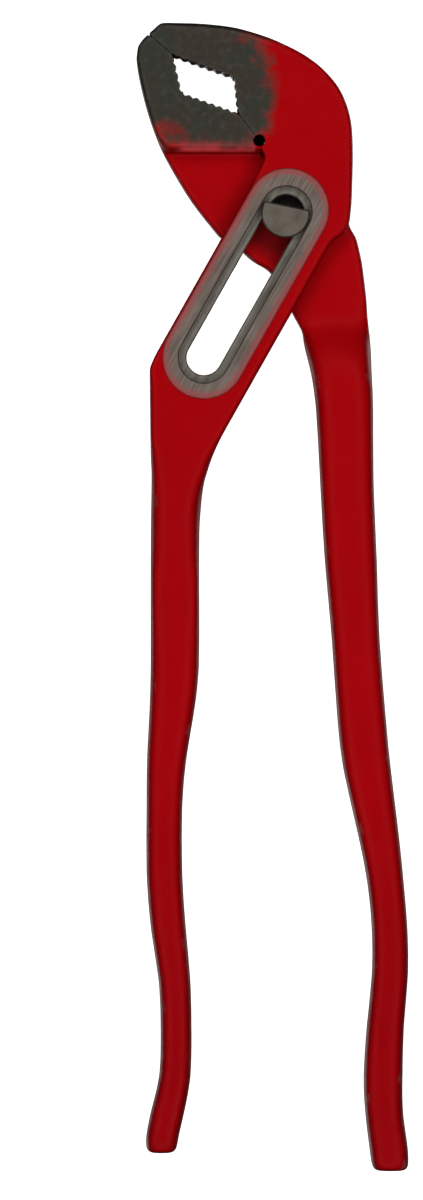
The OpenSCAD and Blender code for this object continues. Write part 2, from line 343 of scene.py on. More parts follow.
def bareZone(tree, where):  # 0 on the bare jaws, 1 on the paint
    outside = None  # distance past the nearest side, in units of its fade
    for direction, reach, soft in enamel["bareSides"]:
        side = vectorMaths(tree, "DOT_PRODUCT", where, (*direction, 0))["Value"]
        distance = maths(tree, "MULTIPLY_ADD", side, 1 / soft, -reach / soft)
        if outside is None:
            outside = distance
        else:
            outside = maths(tree, "SMOOTH_MAX", outside, distance, enamel["bareCorner"])
    for scale, amount in enamel["bareRagged"]:
        ragged = remap(tree, noise(tree, where, scale), *noiseRange, -amount, amount)
        outside = maths(tree, "ADD", outside, ragged)
    return remap(tree, outside, -1, 1, 0, 1)


def leverEnamel():  # red enamel over forged steel, left bare around the jaws
    finish, tree, shader = newFinish("leverEnamel")
    shader["Specular IOR Level"].default_value = enamel["specular"]
    place = addNode(tree, "ShaderNodeTexCoord").outputs
    where = place["Object"]
    at = addNode(tree, "ShaderNodeSeparateXYZ", {0: where}).outputs
    upward = addNode(tree, "ShaderNodeSeparateXYZ", {0: place["Normal"]}).outputs["Z"]
    facing = maths(tree, "ABSOLUTE", upward)
    painted = bareZone(tree, where)
    tree.links.new(mixColour(tree, painted, (1, 1, 1, 1), enamel["gloss"]), shader["Specular Tint"])

    red = mixColour(tree, noise(tree, where, enamel["mottle"], 3), enamel["deep"], enamel["bright"])
    gripped = remap(tree, at["Y"], enamel["gripTo"], enamel["gripFrom"], enamel["gripShare"], 0)
    red = mixColour(tree, gripped, red, enamel["grip"])
    # painted shade: the red is multiplied darker as the surface turns away from the front
    sideShade = remap(tree, facing, *enamel["sideShadeTilt"], enamel["sideShade"], 1)
    red = mixColour(tree, 1.0, red, grey(tree, sideShade), "MULTIPLY")

    edge = product(
        tree, remap(tree, facing, *scuffs["steepTilt"], 0, 1),
        remap(tree, facing, *scuffs["flatTilt"], 1, 0),
        remap(tree, noise(tree, where, scuffs["scale"], 5), *scuffs["range"], 0, scuffs["share"])
    )
    red = mixColour(tree, edge, red, scuffs["tone"])

    patches = noise(tree, where, wornFootAndHighlight["patches"], 4)
    foot = product(
        tree, remap(tree, at["Y"], *wornFootAndHighlight["low"], 0, 1), remap(tree, at["Y"], *wornFootAndHighlight["high"], 1, 0),
        remap(tree, at["X"], *wornFootAndHighlight["right"], wornFootAndHighlight["share"], 0),
        remap(tree, at["X"], *wornFootAndHighlight["left"], 0, 1), remap(tree, at["Z"], *wornFootAndHighlight["level"], 0, 1),
        remap(tree, patches, *wornFootAndHighlight["patchRange"], wornFootAndHighlight["leastPatch"], 1)
    )
    # painted highlight: where the step's face turns steep, the tone turns lighter in place of light the
    # face does not get
    steep = remap(tree, facing, *wornFootAndHighlight["steepTilt"], 1, 0)
    red = mixColour(tree, foot, red, mixColour(tree, steep, wornFootAndHighlight["tone"], wornFootAndHighlight["steep"]))

    flatPlace = vectorMaths(tree, "MULTIPLY", where, (1, 1, 0))["Vector"]
    fromPin = vectorMaths(tree, "LENGTH", flatPlace)["Value"]
    fromSlot = vectorMaths(tree, "DOT_PRODUCT", where, (*slotLeft, 0))["Value"]
    # painted shade on the lap face under the arm and inside the slot
    paintedShade = product(
        tree, maths(tree, "COMPARE", at["Z"], slipJoint["lapFace"], paintedShadeLap["near"]),
        remap(tree, upward, *paintedShadeLap["tilt"], 0, 1), remap(tree, fromPin, *paintedShadeLap["radius"], 1, 0),
        remap(tree, maths(tree, "ABSOLUTE", fromSlot), *paintedShadeLap["across"], paintedShadeLap["share"], 0)
    )
    red = mixColour(tree, paintedShade, red, paintedShadeLap["tone"])

    pits = noise(tree, where, bareJaw["pits"], 5)
    heat = remap(tree, noise(tree, where, bareJaw["heat"]), *bareJaw["heatRange"], 0, 1)
    bare = mixColour(tree, heat, bareJaw["brown"], bareJaw["green"])
    bare = mixColour(tree, remap(tree, pits, *bareJaw["pitRange"], 0, 1), bare, bareJaw["rubbed"])
    tree.links.new(mixColour(tree, painted, bare, red), shader["Base Color"])
    tree.links.new(maths(tree, "SUBTRACT", 1.0, painted), shader["Metallic"])

    smear = remap(tree, noise(tree, where, enamel["smear"], 4), *noiseRange, *enamel["smearRange"])
    rough = mixValue(tree, painted, bareJaw["roughness"], enamel["roughness"])
    tree.links.new(maths(tree, "ADD", rough, smear), shader["Roughness"])
    peel = maths(tree, "MULTIPLY", noise(tree, where, enamel["peel"], 1), enamel["peelShare"])
    forged = maths(tree, "ADD", noise(tree, where, enamel["forged"]), peel)
    height = mixValue(tree, painted, maths(tree, "MULTIPLY", pits, bareJaw["pitDepth"]), forged)
    tree.links.new(bump(tree, height, enamel["relief"]), shader["Normal"])
    return finish


def alongSlot(tree):  # object coordinates with X down the slot and Y across it
    where = addNode(tree, "ShaderNodeTexCoord").outputs["Object"]
    turned = addNode(tree, "ShaderNodeVectorRotate", {
        "Vector": where, "Angle": -math.atan2(slotDown.y, slotDown.x)
    }, rotation_type="Z_AXIS")
    return where, turned.outputs["Vector"]


steels = {  # dark and light tones, roughness, and how fine the lines are down, across and through the slot
    "groundLand": ((0.135, 0.104, 0.088, 1), (0.225, 0.180, 0.153, 1), 0.46, (90, 2600, 300)),
    # milled steel of the slot, ledge, grooves and seat, its tones raised to offset the shade in the sunk
    # ledge: partly painted light
    "lightenedMilledSlot": ((0.145, 0.134, 0.112, 1), (0.24, 0.222, 0.187, 1), 0.46, (150, 900, 1500)),
    # near-black steel: painted shade, on the bolt's neck and journal seen deep through the slot and in the
    # throat's hole
    "paintedShadeSteel": ((0.010, 0.009, 0.008, 1), (0.025, 0.022, 0.018, 1), 0.5, (500, 500, 500)),
    "fastenerSteel": ((0.44, 0.44, 0.42, 1), (0.58, 0.58, 0.56, 1), 0.34, (900, 900, 900))
}
brushing = {
    "metallic": 0.9, "stain": 180, "stainShare": 0.4,
    "lineRange": (0.25, 0.75), "smoother": 0.06, "rougher": 0.08, "depth": 0.02 * mm
}
land = {
    "tinge": (0.30, 0.045, 0.045, 1), "tingeShare": 0.85, "tingeWidth": 1.9 * mm,
    "ragged": 1.2 * mm, "raggedScale": 500
}
turning = {
    "dark": (0.098, 0.082, 0.066, 1), "light": (0.158, 0.136, 0.111, 1), "metallic": 0.9,
    "pitch": 1.2 * mm, "distortion": 0.6, "stain": 260, "stainShare": 0.86, "shadeRange": (0.25, 0.75),
    "roughness": 0.45, "smoother": 0.05, "rougher": 0.08, "depth": 0.003 * mm
}


def brushed(name):  # steel with fine lines along the slot
    dark, light, roughness, stretch = steels[name]
    finish, tree, shader = newFinish(name, brushing["metallic"])
    where, turned = alongSlot(tree)
    lines = noise(tree, vectorMaths(tree, "MULTIPLY", turned, stretch)["Vector"], 1, 4)
    shade = mixValue(tree, brushing["stainShare"], lines, noise(tree, where, brushing["stain"], 4))
    shade = remap(tree, shade, *noiseRange, 0, 1)
    tree.links.new(mixColour(tree, shade, dark, light), shader["Base Color"])
    least, most = roughness - brushing["smoother"], roughness + brushing["rougher"]
    tree.links.new(remap(tree, lines, *brushing["lineRange"], least, most), shader["Roughness"])
    tree.links.new(bump(tree, lines, brushing["depth"]), shader["Normal"])
    return finish


def groundLand():  # ground steel, with a tinge of paint left along its edge
    finish = brushed("groundLand")
    tree = finish.node_tree
    shader = next(n for n in tree.nodes if n.type == "BSDF_PRINCIPLED").inputs
    where, turned = alongSlot(tree)
    parts = addNode(tree, "ShaderNodeSeparateXYZ", {0: turned}).outputs
    held = addNode(tree, "ShaderNodeClamp", {
        "Value": parts["X"], "Min": slipJoint["landTop"], "Max": slipJoint["slotEnd"]
    })
    beyond = maths(tree, "SUBTRACT", parts["X"], held.outputs[0])
    away = maths(tree, "SQRT", maths(
        tree, "ADD", maths(tree, "POWER", beyond, 2.0), maths(tree, "POWER", parts["Y"], 2.0)))
    ragged = maths(tree, "MULTIPLY_ADD", noise(tree, where, land["raggedScale"], 3), land["ragged"], away)
    edge = slipJoint["landRadius"]
    start = edge - land["tingeWidth"] + land["ragged"] / 2
    tinge = remap(tree, ragged, start, edge, 0, land["tingeShare"])
    steel = shader["Base Color"].links[0].from_socket
    tree.links.new(mixColour(tree, tinge, steel, land["tinge"]), shader["Base Color"])
    metallic = brushing["metallic"]
    tree.links.new(maths(tree, "MULTIPLY_ADD", tinge, -metallic, metallic), shader["Metallic"])
    return finish


def turnedSteel(name):  # steel with rings from turning
    finish, tree, shader = newFinish(name, turning["metallic"])
    where = addNode(tree, "ShaderNodeTexCoord").outputs["Object"]
    rings = addNode(tree, "ShaderNodeTexWave", {
        "Vector": where, "Scale": 1 / turning["pitch"], "Distortion": turning["distortion"], "Detail": 2.0
    }, wave_type="RINGS", rings_direction="Z").outputs["Fac"]
    stain = noise(tree, where, turning["stain"], 4)
    shade = mixValue(tree, turning["stainShare"], rings, stain)
    shade = remap(tree, shade, *turning["shadeRange"], 0, 1)
    tree.links.new(mixColour(tree, shade, turning["dark"], turning["light"]), shader["Base Color"])
    least, most = turning["roughness"] - turning["smoother"], turning["roughness"] + turning["rougher"]
    tree.links.new(remap(tree, stain, *noiseRange, least, most), shader["Roughness"])
    tree.links.new(bump(tree, rings, turning["depth"]), shader["Normal"])
    return finish


leverRed = leverEnamel()
landSteel = groundLand()
# the slot's steel is toned lighter to offset the shade in the sunk ledge: partly painted light
lightenedSlotSteel = brushed("lightenedMilledSlot")
paintedShadeSteel = brushed("paintedShadeSteel")
pinSteel = turnedSteel("pivotSteel")
nutSteel = brushed("fastenerSteel")
print("materials ready")


# levers: the frame's solids, forged round, with their machined features cut crisp

forgings = {"voxel": 0.4 * mm, "passes": 26, "push": 0.5, "rampPasses": 90}
filling = {  # what is added before forging, so that crisp faces can be cut after it
    "grip": 0.7 * mm, "inset": 0.1 * mm, "trim": 0.35 * mm, "endShare": 0.12, "pastTip": 0.3,
    "arm": [(-12 * mm, 8.5 * mm), (40 * mm, -9.5 * mm)],  # two corners: down the slot, and left of it
    "boss": 0.6 * mm, "relief": 0.3 * mm, "reliefFrom": -70, "reliefSweep": 197, "reliefSteps": 24
}

throatAngle = 109.8  # degrees around the pivot
jaws = {
    "tip": headPoint(-0.916, 0.942), "front": headPoint(-0.739, 0.822), "top": headPoint(-0.348, 0.711),
    "rear": headPoint(-0.326, 0.537), "low": headPoint(-0.686, 0.639),
    "throat": polar(16.8 * mm, throatAngle), "corner": polar(14.2 * mm, throatAngle),
    "nose": headPoint(-0.828, 1), "chin": headPoint(-0.99, 0.872), "foot": 2.3 * mm,
    # how far the jaw lies from the hook at the teeth, at the parting faces and below the throat
    "gap": Vector((-0.219, -0.204)) * mm, "seam": Vector((-0.088, -0.082)) * mm,
    "throatSeam": Vector((-0.026, -0.024)) * mm,
    "toothDepth": 0.45 * mm, "toothShare": 0.93, "shortFace": 4, "longFace": 7
}
partingLines = [("tip", "front", "seam"), ("rear", "throat", "seam"), ("throat", "corner", "throatSeam")]
relief = {  # the small hole in the throat, and the plug on the rear lever that is its floor
    "radius": 1.3 * mm, "floor": 5.6 * mm, "plug": 1.1 * mm, "plugRoom": 0.04 * mm, "sides": 48
}
web = {  # what closes the throat from behind, between angles in degrees
    "room": 0.05 * mm, "depth": 1.5 * mm, "edge": 106, "from": 104, "to": 114, "gaps": 1.5
}

# where the rounding fades: a pair is where it starts and where it is full
rounding = {
    "least": 0.12, "parting": (0.4 * mm, 1.2 * mm), "corner": (1.5 * mm, 4 * mm), "cornerLeast": 0.2
}
hookEdges = {
    "back": (0.2 * mm, 1.5 * mm), "pocket": (1.5 * mm, 3 * mm), "pocketShare": 0.6,
    "arm": (0.8 * mm, 2 * mm), "armLeast": 0.3, "handle": (-50 * mm, -40 * mm),
    "rampFront": (8 * mm, 10 * mm), "rampAt": -64 * mm, "ramp": (8 * mm, 16 * mm)
}
jawEdges = {
    "boss": (8 * mm, 9 * mm), "handle": (-26 * mm, -20 * mm),
    "foot": (1 * mm, 2 * mm), "rise": (1.5 * mm, 3 * mm),
    "rampFoot": (1.5 * mm, 3 * mm), "rampRise": (2.5 * mm, 4 * mm),
    "rampClear": (1 * mm, 3 * mm), "rampShare": 0.5,
    "lap": (-1 * mm, 0), "shoulderAt": -28 * mm, "shoulder": (6 * mm, 10 * mm)
}

hookHandle = {
    "middle": -24.05 * mm, "sides": 28, "crown": 0.62, "sunk": 0.4 * mm,
    "runOut": [  # y, width and front, in mm
        (-98, 9.6, 10.6), (-84, 10.4, 11.35), (-74, 10.5, 11.95),
        (-66, 10.5, 12.35), (-58, 10.5, 12.5), (-50, 10.5, 12.5)
    ]
}
rearFastening = {"sinkRadius": 6.5 * mm, "sinkDepth": 3.6 * mm, "boreRadius": 4.05 * mm}


def trackLoop(width, start, end, z, arc=28):  # round-ended bar along the slot
    angles = [math.pi * i / arc - math.pi / 2 for i in range(arc + 1)]
    half = width / 2
    low = [slotPoint(end + half * math.cos(a), half * math.sin(a)) for a in angles]
    high = [slotPoint(start - half * math.cos(a), -half * math.sin(a)) for a in angles]
    return [(p.x, p.y, z) for p in reversed(low + high)]


def flatLoop(corners, z):
    return [(p.x, p.y, z) for p in corners]


def ccw(corners):
    area = sum(a.x * b.y - a.y * b.x for a, b in zip(corners, corners[1:] + corners[:1]))
    return corners if area > 0 else corners[::-1]


def slab(name, corners, low, high, finish=None):
    corners = ccw(corners)
    return stack(name, [flatLoop(corners, low), flatLoop(corners, high)], finish)


def readPoints(mesh):
    points = np.empty(len(mesh.vertices) * 3)
    mesh.vertices.foreach_get("co", points)
    return points.reshape(-1, 3)


def forge(name, node, fillers, weightAt, rampAt):  # a solid of the frame, filled in, remeshed and rounded
    blank = bmesh.new()
    blank.from_mesh(frame["nodes"][node].data)
    bmesh.ops.remove_doubles(blank, verts=blank.verts, dist=1e-6)
    for vert in blank.verts:
        vert.co.z = min(vert.co.z, plateTop)
    for filler in fillers:
        blank.from_mesh(filler.data)
        bpy.data.objects.remove(filler)
    mesh = bpy.data.meshes.new(name)
    blank.to_mesh(mesh)
    blank.free()
    piece = bpy.data.objects.new(name, mesh)
    scene.collection.objects.link(piece)
    voxels = piece.modifiers.new("voxels", "REMESH")
    voxels.mode = "VOXEL"
    voxels.voxel_size = forgings["voxel"]
    bakeModifiers(piece)
    soften(piece.data, weightAt, forgings["passes"])
    soften(piece.data, rampAt, forgings["rampPasses"])
    piece.data.materials.clear()
    piece.data.materials.append(leverRed)
    print(name, "forged,", len(piece.data.polygons), "faces")
    return piece


def soften(mesh, weightAt, passes):
    points = readPoints(mesh)
    count = len(points)
    edges = np.empty(len(mesh.edges) * 2, np.int32)
    mesh.edges.foreach_get("vertices", edges)
    first, second = edges.reshape(-1, 2).T
    around = np.bincount(first, minlength=count) + np.bincount(second, minlength=count)
    push = (forgings["push"] * weightAt(points))[:, None]
    for _ in range(passes):
        total = np.stack([
            np.bincount(first, points[second, k], count) + np.bincount(second, points[first, k], count)
            for k in range(3)
        ], 1)
        points += push * (total / around[:, None] - points)
    mesh.vertices.foreach_set("co", points.ravel())
    mesh.update()


def fade(distance, near, far):  # 0 within near, 1 beyond far
    share = np.clip((distance - near) / (far - near), 0, 1)
    return share * share * (3 - 2 * share)


def atLeast(least, share):
    return least + (1 - least) * share


def offLine(points, corners):  # distance from a line of the jaws' corners, seen from the front
    nearest = np.full(len(points), 1.0)
    places = [np.array(jaws[corner]) for corner in corners]
    for a, b in zip(places, places[1:]):
        run = b - a
        share = np.clip((points[:, :2] - a) @ run / (run @ run), 0, 1)
        nearest = np.minimum(nearest, np.linalg.norm(points[:, :2] - a - share[:, None] * run, axis=1))
    return nearest


def offCorner(points, corner):  # least at a corner of the outline that stays sharp
    away = np.linalg.norm(points[:, :2] - np.array(jaws[corner]), axis=1)
    return atLeast(rounding["cornerLeast"], fade(away, *rounding["corner"]))


def offFoot(points):  # distance from the step under the rear jaw
    return np.abs(points[:, 1] - jaws["throat"].y + jaws["foot"])


def beside(a, b, near, far):  # corners of a strip to the right of a line
    run = (b - a).normalized()
    right = Vector((run.y, -run.x))
    return [a + right * near, b + right * near, b + right * far, a + right * far]


def fillStrip(name, strip):
    return slab(name, strip, plateBack + filling["inset"], plateTop - filling["inset"])


def gripFaces(shift, corners):  # fillers over the notches, so the forging has plain faces to cut
    for a, b in zip(corners, corners[1:]):
        yield fillStrip("gripFace", beside(jaws[a] + shift, jaws[b] + shift, 0, filling["grip"]))


def partingEnds(side):  # side is 1 on the hook, and -1 on the jaw, which keeps clear of it
    for a, b, seam in partingLines:
        shift = jaws[seam] if side < 0 else Vector((0, 0))
        yield a, jaws[a] + shift, jaws[b] + shift


def partingFaces(side):  # fillers past the faces where the jaws meet
    share, trim = filling["endShare"], side * filling["trim"]
    for _, start, end in partingEnds(side):
        strip = beside(start.lerp(end, share), end.lerp(start, share), -2 * trim, trim)
        yield fillStrip("partingFace", strip)


def cutParting(piece, side):
    for corner, start, end in partingEnds(side):
        if corner == "tip":
            start = start.lerp(end, -filling["pastTip"])
        strip = beside(start, end, 0, 4 * side * filling["trim"])
        carve(piece, slab("parting", strip, -mm, 2 * plateTop, leverRed))


notches = toothTree()
ringParts = ringPartTree()


def cutTeeth(piece, shift, faces):
    for a, b, teeth in faces:
        count = jaws[teeth]
        step = (jaws[b] - jaws[a]) / count
        start = jaws[a] + shift + step / 2
        carve(piece, grow("notches", notches, {
            "Start": (start.x, start.y, plateTop / 2), "Step": (step.x, step.y, 0), "Count": count,
            "Turn": (0, 0, math.atan2(step.y, step.x)), "Finish": leverRed,
            "Size": (step.length * jaws["toothShare"], 2 * jaws["toothDepth"], 3 * plateTop)
        }))


def throatLathe(name, profile):
    # the hole and its plug are made near-black: painted shade in the hole
    tool = lathe(name, profile, paintedShadeSteel, relief["sides"])
    tool.data.transform(Matrix.Translation(jaws["throat"].to_3d()))
    return tool


def armFiller():
    (top, left), (end, right) = filling["arm"]
    corners = [slotPoint(*place) for place in ((top, left), (end, left), (end, right), (top, right))]
    return slab("arm", corners, slipJoint["armBack"], plateTop)


def reliefFiller():  # the hook lever's half of the hole, filled so it can be cut in two steps
    middle, steps = jaws["throat"], filling["reliefSteps"]
    turns = [filling["reliefFrom"] + filling["reliefSweep"] * i / steps for i in range(steps + 1)]
    arc = [middle + polar(relief["radius"] + filling["relief"], turn) for turn in turns]
    return slab("relief", [middle] + arc, plateBack, relief["floor"])


def pocketFiller():  # lines the round wall behind the head, so it can be cut crisp
    start, end, steps = slipJoint["pocketFrom"], slipJoint["pocketTo"], slipJoint["pocketSteps"]
    turns = [start + (end - start) * i / steps for i in range(steps + 1)]
    reach, trim = slipJoint["pocketRadius"], filling["trim"]
    outer = [polar(reach + trim, turn) for turn in turns]
    inner = [polar(reach - trim, turn) for turn in reversed(turns)]
    low, high = plateBack + filling["inset"], slipJoint["armBack"] + filling["inset"]
    return slab("pocketWall", outer + inner, low, high)


def crowned(share):  # fuller than a circle
    return math.copysign(abs(share) ** hookHandle["crown"], share)


def runOut():  # a crowned run from the arm down into the handle
    turns = [2 * math.pi * i / hookHandle["sides"] for i in range(hookHandle["sides"])]
    back = slipJoint["armBack"] + hookHandle["sunk"]
    loops = []
    for y, width, front in hookHandle["runOut"]:
        across, middle, rise = width * mm / 2, (back + front * mm) / 2, (front * mm - back) / 2
        loops.append([(
            hookHandle["middle"] - across * crowned(math.cos(a)), y * mm,
            middle + rise * crowned(math.sin(a))
        ) for a in turns])
    return stack("runOut", loops)


def cutPocket(piece):
    reach, floor = slipJoint["pocketRadius"], slipJoint["armBack"] - slipJoint["pocketRoom"]
    carve(piece, lathe("pocket", [(reach, -mm), (reach, floor)], leverRed, slipJoint["pocketSides"]))


def addLand(piece):  # the ground land around the slot
    cham, rim = slipJoint["chamfer"], 2 * slipJoint["landRadius"]
    steps = [(slipJoint["armBack"] + mm, rim), (landTop - cham, rim), (landTop, rim - 2 * cham)]
    loops = [trackLoop(width, slipJoint["landTop"], slipJoint["slotEnd"], z) for z, width in steps]
    carve(piece, stack("land", loops, landSteel), "UNION")


def cutSlot(piece):  # a slot with a sunk ledge
    back, ledge, cham = slipJoint["armBack"], landTop - slipJoint["ledgeDepth"], slipJoint["chamfer"]
    narrow, wide = slipJoint["slotWidth"], slipJoint["ledgeWidth"]
    steps = [
        (back - mm, narrow + 2 * cham), (back, narrow + 2 * cham), (back + cham, narrow),
        (ledge - cham, narrow), (ledge, narrow + 2 * cham), (ledge, wide),
        (landTop - cham, wide), (landTop, wide + 2 * cham), (landTop + mm, wide + 2 * cham)
    ]
    loops = [trackLoop(width, slipJoint["slotTop"], slipJoint["slotEnd"], z) for z, width in steps]
    carve(piece, stack("slot", loops, lightenedSlotSteel))


def cutLocks(piece):  # the locking grooves on the arm's back, with room for the rib to swing in
    step, room = slotDown * slipJoint["lockPitch"], slipJoint["grooveRoom"]
    carve(piece, grow("lockGrooves", ringParts, {
        "Start": (0, 0, slipJoint["armBack"]), "Step": (step.x, step.y, 0),
        "Count": round(travel / slipJoint["lockPitch"]) + 1,
        "Radius": slipJoint["grooveRadius"], "From": slipJoint["ribFrom"] - room,
        "Sweep": slipJoint["ribSweep"] + openAngle + 2 * room,
        "Width": slipJoint["grooveWidth"], "Height": 2 * slipJoint["grooveDepth"], "Finish": lightenedSlotSteel
    }))
    dropCrumbs(piece)


def addRib(piece):
    carve(piece, grow("rib", ringParts, {
        "Start": (0, 0, slipJoint["lapFace"]), "Step": (0, 0, 0), "Count": 1,
        "Radius": slipJoint["grooveRadius"], "From": slipJoint["ribFrom"], "Sweep": slipJoint["ribSweep"],
        "Width": slipJoint["ribWidth"], "Height": 2 * slipJoint["ribHeight"], "Finish": lightenedSlotSteel
    }), "UNION")


def throatWeb(piece):  # closes the throat from behind
    low, high = plateBack + filling["inset"], relief["floor"]
    reach, clear = slipJoint["pocketRadius"] - web["room"], jaws["throatSeam"]
    inner = reach - web["depth"]
    carve(piece, slab("web", [
        jaws["throat"] + clear, polar(reach, throatAngle) + clear, polar(reach, web["edge"]),
        polar(inner, web["from"]), polar(inner, web["to"]), jaws["throat"] + web["gaps"] * jaws["gap"]
    ], low, high, leverRed), "UNION")
    carve(piece, throatLathe("plug", [(relief["plug"], low), (relief["plug"], high)]), "UNION")


def hookWeights(points):
    parting = offLine(points, ("tip", "front", "top", "rear", "throat", "corner"))
    pocketWall = np.abs(np.linalg.norm(points[:, :2], axis=1) - slipJoint["pocketRadius"])
    behind = fade(points[:, 2] - slipJoint["armBack"], *hookEdges["back"])
    behind = np.maximum(behind, hookEdges["pocketShare"] * fade(pocketWall, *hookEdges["pocket"]))
    armSide = np.abs(points[:, :2] @ np.array(slotLeft) - slipJoint["armLeft"])
    ground = atLeast(hookEdges["armLeast"], fade(armSide, *hookEdges["arm"]))
    handle = 1 - fade(points[:, 1], *hookEdges["handle"])
    crisp = [fade(parting, *rounding["parting"]), behind, ground, offCorner(points, "nose")]
    return atLeast(rounding["least"], np.maximum(np.min(crisp, axis=0), handle))


def hookRamp(points):  # where the arm runs out into the handle
    front = fade(points[:, 2], *hookEdges["rampFront"])
    return front * (1 - fade(np.abs(points[:, 1] - hookEdges["rampAt"]), *hookEdges["ramp"]))


def jawWeights(points):
    parting = offLine(points, ("tip", "front", "low", "rear", "throat", "corner"))
    boss = fade(np.linalg.norm(points[:, :2], axis=1), *jawEdges["boss"])
    handle = 1 - fade(points[:, 1], *jawEdges["handle"])
    above = points[:, 2] - slipJoint["lapFace"]
    foot = np.maximum(fade(offFoot(points), *jawEdges["foot"]), fade(above, *jawEdges["rise"]))
    foot = np.where(np.abs(above) < jawEdges["rise"][1], foot, 1)
    crisp = [fade(parting, *rounding["parting"]), boss, foot, offCorner(points, "chin")]
    return atLeast(rounding["least"], np.maximum(np.min(crisp, axis=0), handle))


def jawRamp(points):  # the rounded foot of the jaw, and the rise into the handle
    above = points[:, 2] - slipJoint["lapFace"]
    clear = fade(offLine(points, ("rear", "throat")), *jawEdges["rampClear"])
    foot = fade(above, *jawEdges["rampRise"]) * clear * (1 - fade(offFoot(points), *jawEdges["rampFoot"]))
    shoulder = 1 - fade(np.abs(points[:, 1] - jawEdges["shoulderAt"]), *jawEdges["shoulder"])
    return np.maximum(jawEdges["rampShare"] * foot, fade(above, *jawEdges["lap"]) * shoulder)


def makeHookLever():
    here = Vector((0, 0))
    fillers = [armFiller(), runOut(), reliefFiller(), pocketFiller()]
    fillers += gripFaces(here, ("rear", "top", "front"))
    fillers += partingFaces(1)
    piece = forge("hookLever", "hook_lever", fillers, hookWeights, hookRamp)
    cutParting(piece, 1)
    cutPocket(piece)
    addLand(piece)
    cutSlot(piece)
    cutLocks(piece)
    plug, hole, floor = relief["plug"] + relief["plugRoom"], relief["radius"], relief["floor"]
    carve(piece, throatLathe("relief", [(plug, -mm), (plug, floor), (hole, floor), (hole, 2 * plateTop)]))
    cutTeeth(piece, here, [("rear", "top", "shortFace"), ("top", "front", "longFace")])
    return piece


def makeJawLever():
    sink, depth, bore = rearFastening["sinkRadius"], rearFastening["sinkDepth"], rearFastening["boreRadius"]
    lap, cham = slipJoint["lapFace"], slipJoint["chamfer"]
    boss, ring = sink + filling["boss"], slipJoint["pocketRadius"]
    fillers = [lathe("boss", [(boss, 0), (boss, lap)])]
    fillers += gripFaces(jaws["gap"], ("front", "low", "rear"))
    fillers += partingFaces(-1)
    piece = forge("jawLever", "jaw_lever", fillers, jawWeights, jawRamp)
    cutParting(piece, -1)
    carve(piece, lathe("lapFace", [(ring, lap), (ring, lap + 2 * slipJoint["ribHeight"])], leverRed))
    addRib(piece)
    carve(piece, lathe("pivotSeat", [
        (sink + 2 * cham, -mm), (sink + cham, 0), (sink, cham), (sink, depth), (bore, depth),
        (bore, lap - cham), (bore + cham, lap), (bore + cham, lap + mm)
    ], lightenedSlotSteel))
    throatWeb(piece)
    hole = relief["radius"]
    carve(piece, throatLathe("relief", [(hole, relief["floor"]), (hole, 2 * plateTop)]))
    cutTeeth(piece, jaws["gap"], [("front", "low", "shortFace"), ("low", "rear", "longFace")])
    return piece


hookLever = makeHookLever()
jawLever = makeJawLever()
print("levers cut")


# pivot: bolt, washer and nut

pivot = {
    "headRadius": 5.25 * mm, "headTop": 13.0 * mm, "headSeat": 10.85 * mm,
    "flat": 1.7 * mm, "flatTurn": math.radians(18), "flatLow": 6.65 * mm,
    "neckWidth": 7.5 * mm, "neckLong": 1.5 * mm, "neckLow": 6.7 * mm, "neckHigh": 11.35 * mm,
    "journalRadius": 4 * mm, "journalTop": 6.75 * mm, "seat": 3.5 * mm, "threadRadius": 3 * mm,
    "centre": [(0.9 * mm, 0.5 * mm), (1.5 * mm, 0)],  # radius and height of the sunk centre behind
    "chamfer": 0.3 * mm
}
washer = {"radius": 6.1 * mm, "hole": 3.2 * mm, "low": 2.7 * mm, "high": 3.5 * mm, "chamfer": 0.15 * mm}
nut = {
    "acrossFlats": 10 * mm, "hole": 3.05 * mm, "low": 0.3 * mm, "high": 2.7 * mm,
    "chamfer": 0.35 * mm, "bevel": math.radians(30)
}


def cutFlat(bolt):  # takes the head down to its flat, with a chamfer
    cham, top, wide = pivot["chamfer"], pivot["headTop"], 4 * pivot["headRadius"]
    across = slotDown.to_3d()
    across.rotate(Euler((0, 0, pivot["flatTurn"])))
    across = across.to_2d()
    side = Vector((-across.y, across.x))
    loops = []
    for z, step in [(pivot["flatLow"], 0), (top - cham, 0), (top, cham), (top + mm, cham + mm)]:
        edge = across * (step - pivot["flat"])
        left, right = edge + side * wide, edge - side * wide
        loops.append(flatLoop(ccw([left, right, right - across * wide, left - across * wide]), z))
    carve(bolt, stack("flat", loops, pinSteel))


def makeBolt():
    cham, top, low, radius = pivot["chamfer"], pivot["headTop"], pivot["headSeat"], pivot["headRadius"]
    bolt = lathe("pivotBolt", [
        (radius - cham, low), (radius, low + cham), (radius, top - cham), (radius - cham, top)
    ], pinSteel)
    # the neck and the journal are near-black: painted shade where they are seen deep through the slot
    carve(bolt, stack("neck", [
        trackLoop(pivot["neckWidth"], 0, pivot["neckLong"], z)
        for z in (pivot["neckLow"], pivot["neckHigh"])
    ], paintedShadeSteel), "UNION")
    cutFlat(bolt)
    journal, thread, seat = pivot["journalRadius"], pivot["threadRadius"], pivot["seat"]
    carve(bolt, lathe("journal", [
        (journal - cham, seat), (journal, seat + cham), (journal, pivot["journalTop"])
    ], paintedShadeSteel), "UNION")
    carve(bolt, lathe("threadEnd", [
        *pivot["centre"], (thread - cham, 0), (thread, cham), (thread, seat + cham)
    ], pinSteel), "UNION")
    return bolt


def makeWasher():
    cham, inner, outer = washer["chamfer"], washer["hole"], washer["radius"]
    low, high = washer["low"], washer["high"]
    disc = lathe("pivotWasher", [
        (outer - cham, low), (outer, low + cham), (outer, high - cham), (outer - cham, high)
    ], nutSteel)
    carve(disc, lathe("hole", [
        (inner + cham, low - mm), (inner + cham, low), (inner, low + cham),
        (inner, high - cham), (inner + cham, high), (inner + cham, high + mm)
    ], nutSteel))
    return disc


